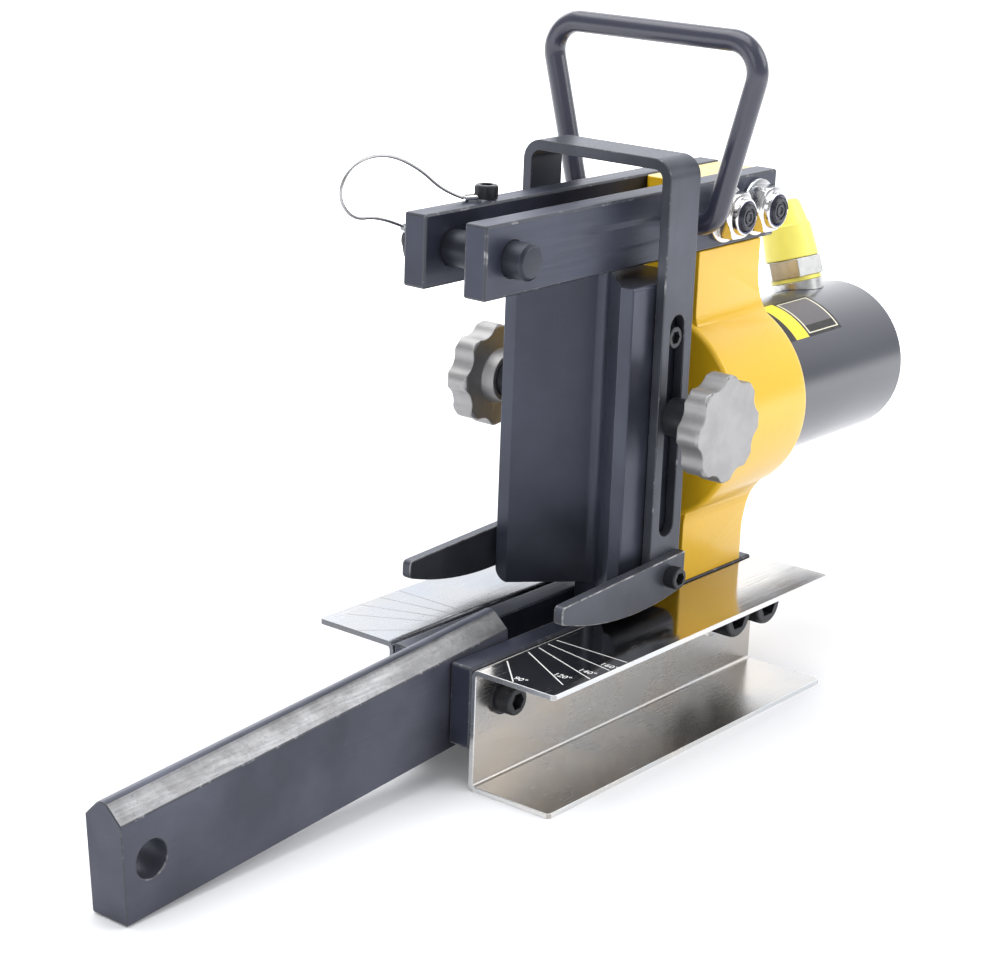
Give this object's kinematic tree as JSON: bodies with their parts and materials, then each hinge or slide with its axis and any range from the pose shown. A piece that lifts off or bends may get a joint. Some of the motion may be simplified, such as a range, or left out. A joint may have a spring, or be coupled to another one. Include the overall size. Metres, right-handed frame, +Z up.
{
  "type": "hydraulic busbar bender",
  "caption": "Horizontal hydraulic bender for flat bar: V die on a ram, swing-up nose arm with locking pin, height-adjustable support, carry handle.",
  "frame": {"origin": "on the floor plane, below the middle of the whole part's extents", "axes": "+X back along the cylinder, +Y to the side with the upper bolts' hexagon heads, +Z up"},
  "size_m": [0.52, 0.144, 0.324],
  "materials": {
    "yellow_paint": "glossy yellow paint on cast steel",
    "black_paint": "satin black paint",
    "black_oxide": "satin black oxide on steel",
    "bright_zinc": "bright zinc plate on sheet steel",
    "zinc_hardware": "zinc plated steel",
    "black_hardware": "black oxide screws",
    "cast_silver": "blasted aluminium casting",
    "chromed_rod": "hard chromed and ground",
    "spring_steel": "oiled spring steel",
    "bronze": "plain bearing bronze",
    "seal_rubber": "moulded seal rubber",
    "yellow_plastic": "moulded yellow plastic",
    "coupler_steel": "plated turned steel",
    "wire_rope": "thin steel wire"
  },
  "bodies": {
    "frame": {"frame_casting": "yellow_paint", "cylinder_barrel": "black_paint", "rod_bush": "bronze", "rod_wiper": "seal_rubber", "upper_bar_near": "black_oxide", "upper_bar_far": "black_oxide", "lower_rail_near": "black_oxide", "lower_rail_far": "black_oxide", "base_channel_near": "bright_zinc", "base_channel_far": "bright_zinc", "upper_bolts": "black_hardware", "upper_nuts": "zinc_hardware", "upper_washers": "zinc_hardware", "lower_bolts": "black_hardware", "lower_nuts": "zinc_hardware", "lower_washers": "zinc_hardware", "pivot_pin": "black_hardware", "pivot_screws": "black_hardware", "pivot_washers": "zinc_hardware", "carry_handle": "black_paint", "coupler_base": "coupler_steel", "coupler_ring": "yellow_plastic", "coupler_body": "coupler_steel", "lanyard_eyelet": "zinc_hardware", "lanyard_screw": "black_hardware", "lanyard_wire": "wire_rope", "return_spring": "spring_steel"},
    "ram": {"piston_rod": "chromed_rod", "piston": "coupler_steel", "piston_seal": "seal_rubber", "v_die": "black_oxide", "die_key": "black_oxide", "bracket_guide_screws": "black_hardware"},
    "bracket": {"support_bracket": "black_oxide", "support_finger_near": "black_oxide", "support_finger_far": "black_oxide", "finger_screws": "black_hardware"},
    "knob_near": {"clamp_knob_near": "cast_silver", "clamp_stud_near": "black_hardware"},
    "knob_far": {"clamp_knob_far": "cast_silver", "clamp_stud_far": "black_hardware"},
    "swing_arm": {"swing_arm": "black_oxide"},
    "lock_pin": {"lock_pin": "black_oxide", "lock_pin_eyelet": "zinc_hardware", "lock_pin_screw": "black_hardware"},
    "dust_cap": {"dust_cap": "yellow_plastic"}
  },
  "joints": [
    {"name": "ram_stroke", "type": "slide", "parent": "frame", "child": "ram", "axis": [-1, 0, 0], "range_m": [0, 0.058], "stiffness_N_per_m": 23000, "springref_m": -0.003, "deforming": ["return_spring"]},
    {"name": "bracket_height", "type": "slide", "parent": "ram", "child": "bracket", "axis": [0, 0, 1], "range_m": [-0.004, 0.05]},
    {"name": "knob_near_turn", "type": "hinge", "parent": "ram", "child": "knob_near", "pos_m": [0.04804, -0.059, 0.152], "axis": [0, -1, 0], "range_deg": [0, 360]},
    {"name": "knob_far_turn", "type": "hinge", "parent": "ram", "child": "knob_far", "pos_m": [0.04804, 0.059, 0.152], "axis": [0, 1, 0], "range_deg": [0, 360]},
    {"name": "arm_swing", "type": "hinge", "parent": "frame", "child": "swing_arm", "pos_m": [-0.04896, 0, 0.04], "axis": [0, 1, 0], "range_deg": [0, 82]},
    {"name": "lock_pin_pull", "type": "slide", "parent": "frame", "child": "lock_pin", "axis": [0, 1, 0], "range_m": [0, 0.0575], "deforming": ["lanyard_wire"]},
    {"name": "dust_cap_pull", "type": "slide", "parent": "frame", "child": "dust_cap", "axis": [0, 0.3007, 0.9537], "range_m": [0, 0.03]}
  ]
}
